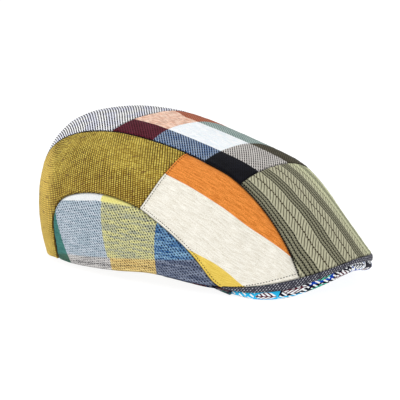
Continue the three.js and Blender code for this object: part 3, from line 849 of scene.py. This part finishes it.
def printed_cotton():
    """A generic print of slanted veined leaves and short strokes in blues, mint, coral and white."""
    c = Cloth("printed_cotton", 0.8)
    u, v = c.uv("cloth")
    _, y, _ = c.place()
    white = (250, 253, 255)
    wave = (c.noise(u * 0.02, v * 0.02, 1.0) - 0.5) * 14
    a = (u + v * 0.45 + wave) / 17
    b = (v - u * 0.1) / 8.5 + a.floor() * 0.5
    cell = c.scatter(a, b)
    along, aside = a.frac() - 0.5, (b.frac() - 0.5).abs()
    leaf = (aside * 2.5 + (along * along) * 4.4).ramp(0.9, 0.84)
    rib = aside.ramp(0.05, 0.025) * leaf
    veins = ((along + aside * 0.8) * 5).stripes(0.22, 0.05) * leaf
    strokes = ((u * 0.8 - v) / 3.2).stripes(0.2, 0.05) * ((u + v * 0.8) / 7.0).stripes(0.36, 0.03)
    ink = c.mix(cell.ramp(0.8, 0.82), white, (22, 74, 156))
    fill = c.lay(white, [
        ((cell * 7).frac().ramp(0.5, 0.52), (90, 218, 186)),
        ((cell * 7).frac().ramp(0.8, 0.82), (228, 140, 140)),
    ])
    vein = c.mix((cell * 5).frac().ramp(0.5, 0.52), (6, 10, 44), (84, 14, 40))
    colour = c.lay((6, 9, 34), [
        (cell.ramp(0.36, 0.38), (10, 66, 176)),
        (cell.ramp(0.6, 0.62), (40, 186, 236)),
        (cell.ramp(0.82, 0.84), white),
        (strokes * (cell * 3).frac().ramp(0.4, 0.42), ink),
        (leaf, fill),
        (veins, vein),
        (rib, vein),
        # painted shade: dark navy over the print towards the back, under the peak
        (y.ramp(-81, -73) * 0.78, (22, 24, 46)),
    ])
    weave = plain_weave(u, v, 0.6)
    return c.finish(c.shade(colour, 0.97 + weave * 0.05), weave, 0.08)


def thread_material(name, rgb):
    c = Cloth(name, 0.8)
    x, y, z = c.place()
    ply = ((x + y * 0.8 + z * 0.6) / 0.35).frac()
    tone = 0.85 + ply.band(0.5, 0.3, 0.2) * 0.3
    return c.finish(c.shade(c.plain(rgb), tone), ply, 0.05)


# The materials of the panels' inner faces, of each slot and of the threads
cloths = {
    "reverse": reverse_cloth(),
    "houndstooth_cloth": houndstooth_cloth(),
    "check_cloth": check_cloths(),
    "sage_stripe_cloth": sage_cloth(),
    "mustard_cloth": mustard_cloth(),
    "plaid_cloth": plaid_cloth(),
    "colour_block_cloth": block_cloth(),
    "dark_twill_binding": binding_cloth(),
    "printed_cotton": printed_cotton(),
    "dark_thread_and_seam_shadow": thread_material("dark_thread_and_seam_shadow", (12, 11, 10)),
    "grey_thread": thread_material("grey_thread", (46, 42, 34)),
}


# Panels

def strip_grid(first, last, rows):
    """Places on the top strip between two hoops, or lines of hoops across it."""
    a = graded(rows)[:, None]
    s = (first * (1 - a) + last * a) * np.ones_like(STRIP_ACROSS)
    return s, STRIP_ACROSS * strip_angle(s, STRIP_ACROSS)


def side_grid(side, first, last, start, end, rows, columns):
    """Places and angles on a side, filled in between four border curves of [hoop, down]."""
    a, b = graded(rows), graded(columns)
    top, bottom = first(a)[:, None], last(a)[:, None]
    back, front = start(b)[None], end(b)[None]
    a, b = a[:, None, None], b[None, :, None]
    ends = (top[:1] * (1 - b) + bottom[:1] * b) * (1 - a) + (top[-1:] * (1 - b) + bottom[-1:] * b) * a
    place = top * (1 - b) + bottom * b + back * (1 - a) + front * a - ends
    s, down = place[..., 0], place[..., 1]
    return s, down, side_angle(s, down, side)


def straight(first, last):
    """A function of 0 to 1 from one place to another."""
    first, last = np.array(first, float), np.array(last, float)

    def at(t):
        return first + (last - first) * t[:, None]

    return at


STRIP_ACROSS = (2 * graded(84) - 1)[None, :]  # shares of the strip's half width
back_cross = BACK_CROSS + BACK_BOW * (1 - STRIP_ACROSS**2)
arch, side_seam, slant = seam_curve(ARCH_SEAM), seam_curve(SIDE_SEAM), seam_curve(SLANT_SEAM)


def top_back_cloth():
    s, angle = strip_grid(0, back_cross, rows=130)
    cloth_panel("top_back_panel", "houndstooth_cloth", s, angle,
                ("hem", "flat", "plain", "plain"),
                lambda base, normal, u: grain_layer(base, normal, (1, 0, 0)))


def top_check_cloth():
    s, angle = strip_grid(back_cross, FRONT_CROSS, rows=110)
    start, end = ROW_BEND_HOOPS
    bend = ROW_BEND * np.clip((start - s) / (start - end), 0, 1) * (STRIP_ACROSS > 0)
    cloth_panel("top_check_panel", "check_cloth", s, angle,
                ("flat", "flat", "plain", "plain"), lambda base, normal, u: (s, STRIP_ACROSS - bend))


def peak_top_cloth():
    s, angle = strip_grid(FRONT_CROSS, PEAK_EDGE, rows=100)
    cloth_panel("peak_top_panel", "sage_stripe_cloth", s, angle,
                ("flat", "peak", "plain", "plain"), lambda base, normal, u: (base[..., 0], u))


def side_cloth(name, side):
    s, _, angle = side_grid(side, straight([0, 0], [SIDE_CROSS, 0]), arch,
                            straight([0, 0], [0, 1]), side_seam, rows=140, columns=64)

    def pattern(base, normal, u):
        level = -side * unit(np.cross((0, 0, 1), normal))
        across = np.array([-side * GRAIN_ACROSS[0], GRAIN_ACROSS[1], 0])
        start, end = GRAIN_TURN
        share = np.clip((level @ across - start) / (end - start), 0, 1)[..., None]
        return grain_layer(base, normal, across * share + level * (1 - share))

    cloth_panel(f"side_panel_{name}", "mustard_cloth", s, angle,
                ("hem", "under", "plain", "arch_over"), pattern)


def lower_side_cloth(name, side):
    """Pointed at both ends: from the arch and slant seams down to the rim."""
    share_arch, spread = 0.66, 0.4
    a, b = graded(190, 0.5)[1:-1], graded(40)[None, :]
    on_arch, on_slant = arch(a / share_arch), slant((a - share_arch) / (1 - share_arch))
    top = np.where(a[:, None] < share_arch, on_arch, on_slant)
    rim_s = spread * PEAK_EDGE * a + (1 - spread) * top[:, 0]
    s = top[:, :1] * (1 - b) + rim_s[:, None] * b
    down = top[:, 1:] * (1 - b) + b
    return cloth_panel(f"lower_side_panel_{name}", "plaid_cloth", s, side_angle(s, down, side),
                       ("flat", "flat", "arch_under", "hem"),
                       lambda base, normal, u: (base[..., 1], base[..., 2]), sag=0.3)


def front_side_cloth(name, side):
    s, down, angle = side_grid(side, straight([SIDE_CROSS, 0], [PEAK_EDGE, 0]), slant, side_seam,
                               straight([PEAK_EDGE, 0], [PEAK_EDGE, 1]), rows=110, columns=72)

    def pattern(base, normal, u):
        height = np.linalg.norm(side_point(s, 1, side) - side_point(s, 0, side), axis=-1)
        return [(down - down_at_hoop(line, s)) * height for line in (ORANGE_LINE, YELLOW_LINE)]

    return cloth_panel(f"front_side_panel_{name}", "colour_block_cloth", s, angle,
                       ("lapped", "peak", "sunk", "lapped"), pattern)


# Border of the peak

def smooth_table(table, x):
    """Rows of a table read smoothly at x, its first column."""
    t, rows = table[:, 0], table[:, 1:]
    slope = np.gradient(rows, t, axis=0)
    i = np.clip(np.searchsorted(t, x, side="right") - 1, 0, len(t) - 2)
    h = (t[i + 1] - t[i])[..., None]
    f = np.clip((np.asarray(x) - t[i])[..., None] / h, 0, 1)
    return cubic(rows[i], rows[i + 1], h * slope[i], h * slope[i + 1], f)


def border_stations(edge_count, rim_count=0):
    """Points, normals, outward directions and border sizes round the peak from right to left."""
    turn = np.linspace(-90, 90, edge_count + 1)
    s, angle = np.full(turn.shape, float(PEAK_EDGE)), np.radians(turn)
    if rim_count:
        rim = np.linspace(HORN_HOOP, PEAK_EDGE, rim_count + 1)[:-1]
        beyond = 90 + TURN_PER_HOOP * (PEAK_EDGE - rim)
        quarter = np.full(rim.shape, math.pi / 2)
        s = np.concatenate([rim, s, rim[::-1]])
        angle = np.concatenate([-quarter, angle, quarter])
        turn = np.concatenate([-beyond, turn, beyond[::-1]])
    point = surface_point(s, angle)
    along = np.gradient(point, axis=0)
    out = unit(np.stack([along[:, 1], -along[:, 0], np.zeros(len(along))], 1))
    border = dict(zip(BORDER_COLUMNS[1:], smooth_table(BORDER, np.abs(turn)).T))
    return point, surface_normal(s, angle), out, border


def at_border(point, out, outwards, z):
    place = point + out * np.asarray(outwards)[..., None]
    return np.stack([place[:, 0], place[:, 1], z], 1)


def ring_layer(rings):
    """Millimetres run along the middle line and round each ring."""
    middle = rings.shape[1] // 2
    u = np.broadcast_to(run_length(rings, 0)[:, middle:middle + 1], rings.shape[:2])
    return np.stack([u.ravel(), run_length(rings, 1).ravel()], 1)


def border_piece(node, slot, points, faces, layer):
    faces = faces_outward(points, faces)
    attach(make_mesh(f"{node}_cloth", points, faces, [cloths[slot]], {"cloth": layer}), node)


def peak_binding_cloth():
    """A folded band below the peak's edge, round outside and flat inside."""
    point, normal, out, border = border_stations(220)
    z, band = point[:, 2], border["band"]
    through = -normal * BINDING_WALL  # from the cloth's edge to below it
    top = np.maximum(z + through[:, 2] - JOIN_GAP * 1.4, z - band + BINDING_LEAST)
    reach = np.minimum(np.einsum("ij,ij->i", through, out), -BINDING_FOLD)
    rings = [at_border(point, out, BINDING_START + BINDING_SWELL * swell,
                       z - JOIN_GAP - (band - JOIN_GAP) * share) for share, swell in BINDING_OUTLINE]
    rings += [at_border(point, out, -BINDING_FOLD, z - band),
              at_border(point, out, -BINDING_WALL, z - band + BINDING_LIFT),
              at_border(point, out, reach, top)]
    rings = np.stack(rings, 1)
    border_piece("peak_binding", "dark_twill_binding", settle(rings).reshape(-1, 3),
                 bar_faces(*rings.shape[:2]), ring_layer(rings))


def centripetal(points, t):
    """Centripetal Catmull-Rom through stacked points at t from 0 to 1."""
    count = len(points)
    place = t * (count - 1)
    i = min(int(place), count - 2)
    f = place - i
    p1, p2 = points[i], points[i + 1]
    p0 = points[i - 1] if i > 0 else 2 * p1 - p2
    p3 = points[i + 2] if i + 2 < count else 2 * p2 - p1
    d0, d1, d2 = (np.linalg.norm(b - a, axis=-1, keepdims=True) ** 0.5 + 1e-6
                  for a, b in ((p0, p1), (p1, p2), (p2, p3)))
    v1 = ((p1 - p0) / d0 - (p2 - p0) / (d0 + d1) + (p2 - p1) / d1) * d1
    v2 = ((p2 - p1) / d1 - (p3 - p1) / (d1 + d2) + (p3 - p2) / d2) * d1
    return cubic(p1, p2, v1, v2, f)


def peak_underside_cloth():
    """The peak's board in its printed cover: rolled at the lip, then back to the brow."""
    point, _, out, border = border_stations(200, 40)
    z, drop, tuck = point[:, 2], border["drop"], border["tuck"]
    lip_top = border["band"] + JOIN_GAP
    swing = np.radians(np.linspace(-90, 90, len(point)))
    brow = np.stack([BROW["half_width"] * np.sin(swing), BROW["y"] - BROW["depth"] * np.cos(swing),
                     BROW["z"] + BROW["rise"] * np.cos(swing)], 1)
    start = at_border(point, out, -tuck, z - lip_top)
    belly = at_border(point, out, LIP_BELLY - tuck, z - (lip_top * (1 - BELLY_DOWN) + drop * BELLY_DOWN))
    lowest = at_border(point, out, -(tuck + LIP_TURN), z - drop)
    shelf = lowest + (brow - lowest) * SHELF
    steps = np.concatenate([np.linspace(0, 0.5, 22), np.linspace(0.5, 1, 34)[1:]])
    rings = np.stack([centripetal([start, belly, lowest, shelf, brow], t) for t in steps], 1)
    rings = rings[BORDER_TRIM:-BORDER_TRIM]
    grid = settle(rings)
    inward = unit(np.cross(np.gradient(grid, axis=0), np.gradient(grid, axis=1)))
    points = np.vstack([wall.reshape(-1, 3) for wall in (grid, grid + inward * BOARD * MM)])
    faces, _ = shell_faces(*grid.shape[:2])
    layer = np.tile(ring_layer(rings), (2, 1))
    border_piece("peak_underside", "printed_cotton", points, faces, layer)


# Stitches

def stitch_points(kind, path, normal):
    """Points of each stitch of a row along a path in table millimetres."""
    length, gap, radius, dip, tilt = STITCHES[kind][:5]
    run = run_length(path[:, None], 0)[:, 0]

    def read(values, at):
        return np.array([np.interp(at, run, column) for column in values.T])

    at, thick = (column[:, None, None] for column in np.array(STITCH_SHAPE).T)
    turn = (2 * math.pi * np.arange(STITCH_SIDES) / STITCH_SIDES)[:, None]
    count = max(int(run[-1] / (length + gap)), 1)
    step = 0.3
    stitches = []
    for middle in (np.arange(count) + 0.5) * run[-1] / count:
        up = unit(read(normal, middle))
        ahead = unit(read(path, middle + step) - read(path, middle - step))
        aside = unit(np.cross(up, ahead))
        forward = ahead * math.cos(tilt) + aside * math.sin(tilt)
        rise = radius * thick * np.sin(turn) * STITCH_FLATNESS - dip * (2 * at) ** 2
        stitch = (read(path, middle) + forward * at * length + up * rise
                  + np.cross(up, forward) * radius * thick * np.cos(turn))
        stitches.append(stitch.reshape(-1, 3))
    return stitches


def stitch_piece(kind, name, paths):
    """One piece of thread with a row of stitches along each path."""
    slot, thread = STITCHES[kind][5:]
    stitches = [stitch for path, normal in paths for stitch in stitch_points(kind, path, normal)]
    one = bar_faces(len(STITCH_SHAPE), STITCH_SIDES)
    faces = np.vstack([one + k * len(stitches[0]) for k in range(len(stitches))])
    attach(make_mesh(f"{kind}_{name}", settle(np.vstack(stitches)), faces, [cloths[thread]]))


def seam_path(places, side, towards, inset=0.0, lift=0.0):
    """A path on a side, moved inset mm away from a curve of places; towards is a small step of
    hoop and down that says to which side of the curve."""
    s, down = places[:, 0], places[:, 1]
    base, normal = side_point(s, down, side), surface_normal(s, side_angle(s, down, side))
    inward = unit(np.cross(normal, np.gradient(base, axis=0)))
    probe = side_point(s + towards[0], down + towards[1], side) - base
    inward *= np.where(np.einsum("ij,ij->i", inward, probe) < 0, -1, 1)[:, None]
    return base + inward * inset + normal * lift, normal


def hem_path(s, side, rise):
    """Above the rim by rise, at hoops s."""
    step = 0.05
    length = np.linalg.norm(side_point(s, 1 - step, side) - side_point(s, 1, side), axis=-1) / step
    angle = side_angle(s, 1 - rise / length, side)
    return surface_point(s, angle), surface_normal(s, angle)


def laid_on(piece, path, normal, lift=0.0):
    """A path in table millimetres moved along its normals onto a piece."""
    reach = 4.0
    mesh = piece.data
    tree = BVHTree.FromPolygons([p.co for p in mesh.vertices], [f.vertices for f in mesh.polygons])
    moves = []
    for start, way in zip(settle(path + normal * reach), lean(normal)):
        fall = tree.ray_cast(Vector(start), Vector(-way), 2 * reach * MM)[3]
        moves.append(lift if fall is None else reach - fall / MM + lift)
    return path + normal * np.array(moves)[:, None], normal


def side_stitches(name, side, lower_cloth, front_cloth):
    """Thread in the strip seams, partly painted shadow, and dark thread as painted shadow in the arch
    seam's gap; topstitches round the front panel and above the hem.
    """
    to_rim, to_top, to_peak = (0, 0.02), (0, -0.02), (0.02, 0)
    t, fine = np.linspace(0, 1, 160), np.linspace(0, 1, 300)
    strip_line = straight(*([s, 0] for s in STRIP_THREAD_HOOPS))(fine)
    edge_line = straight(*([EDGE_STITCH_HOOP, down] for down in EDGE_STITCH_DOWN))(t)
    # the slices of t keep the thread clear of the corners where seams meet
    front_paths = [
        seam_path(side_seam(t[3:-4]), side, to_peak, TOPSTITCH_INSET),
        seam_path(slant(t[4:-10]), side, to_top, TOPSTITCH_INSET),
        seam_path(edge_line, side, to_rim),
    ]
    hem = hem_path(np.linspace(*HEM_STITCH_HOOPS, 240), side, HEM_STITCH_RISE)
    # dark stitches in the strip seam, partly painted shadow
    strip_path = seam_path(strip_line, side, to_rim, 0, STRIP_THREAD_LIFT)
    # dark thread as painted shadow in the arch seam's gap, over its back part
    arch_shadow_path = seam_path(arch(t[4:60]), side, to_rim, ARCH_SHADOW_THREAD_INSET, ARCH_SHADOW_THREAD_LIFT)
    stitch_piece("strip_seam_thread_and_shadow", name, [strip_path])
    stitch_piece("arch_seam_shadow_thread", name, [arch_shadow_path])
    stitch_piece("front_topstitch", name,
                 [laid_on(front_cloth, *path, TOPSTITCH_LIFT) for path in front_paths])
    stitch_piece("hem_topstitch", name, [laid_on(lower_cloth, *hem)])


# Stage, light and camera

def stage():
    material, _ = new_material("floor_paint", {
        "Base Color": (0.25, 0.25, 0.25, 1), "Roughness": 0.9, "Specular IOR Level": 0.0,
        "Emission Color": (1, 1, 1, 1), "Emission Strength": 0.9})
    corners = [[-3, -3, 0], [3, -3, 0], [3, 3, 0], [-3, 3, 0]]  # metres
    make_mesh("floor", corners, [[0, 1, 2, 3]], [material])


def softbox(name, place, target, size, power):
    light = bpy.data.lights.new(name, "AREA")
    light.shape = "SQUARE"
    light.size = size
    light.energy = power
    lamp = bpy.data.objects.new(name, light)
    lamp.location = place
    lamp.rotation_mode = "QUATERNION"
    lamp.rotation_quaternion = (Vector(place) - Vector(target)).to_track_quat("Z", "Y")
    bpy.context.scene.collection.objects.link(lamp)


def studio_light():
    world = bpy.data.worlds.new("studio")
    world.use_nodes = True
    world.node_tree.nodes["Background"].inputs["Color"].default_value = (1, 1, 1, 1)
    world.node_tree.nodes["Background"].inputs["Strength"].default_value = 0.6
    bpy.context.scene.world = world
    middle = (0, 0, 0.05)
    softbox("key", (-0.9, -1.0, 1.1), middle, size=0.8, power=7)
    softbox("back_left", (-0.9, 1.1, 0.5), middle, size=0.6, power=5)
    softbox("top", (0.3, 0.1, 1.4), middle, size=0.9, power=5)


def photo_camera():
    data = bpy.data.cameras.new("camera")
    data.sensor_width = 36
    half_width = PHOTO_SIZE / 2 / (PHOTO_SCALE * VIEW_DISTANCE)
    data.lens = data.sensor_width / 2 / half_width
    back = np.array([-math.cos(VIEW_AZIMUTH) * math.cos(VIEW_ELEVATION),
                     -math.sin(VIEW_AZIMUTH) * math.cos(VIEW_ELEVATION), math.sin(VIEW_ELEVATION)])
    right = unit(np.cross(-back, [0, 0, 1]))
    up = np.cross(right, -back)
    axes = np.stack([lean(right), lean(up), lean(back)], 1)
    camera = bpy.data.objects.new("camera", data)
    turned = Matrix(axes.tolist()).to_4x4()
    camera.matrix_world = Matrix.Translation(settle(VIEW_TARGET + back * VIEW_DISTANCE).tolist()) @ turned
    bpy.context.scene.collection.objects.link(camera)
    bpy.context.scene.camera = camera


photo_camera()
stage()
studio_light()
top_back_cloth()
top_check_cloth()
peak_top_cloth()
for side_name, side_sign in (("right", -1), ("left", 1)):
    side_cloth(side_name, side_sign)
    lower_cloth = lower_side_cloth(side_name, side_sign)
    front_cloth = front_side_cloth(side_name, side_sign)
    side_stitches(side_name, side_sign, lower_cloth, front_cloth)
peak_binding_cloth()
peak_underside_cloth()

bpy.context.scene.view_settings.view_transform = "Standard"
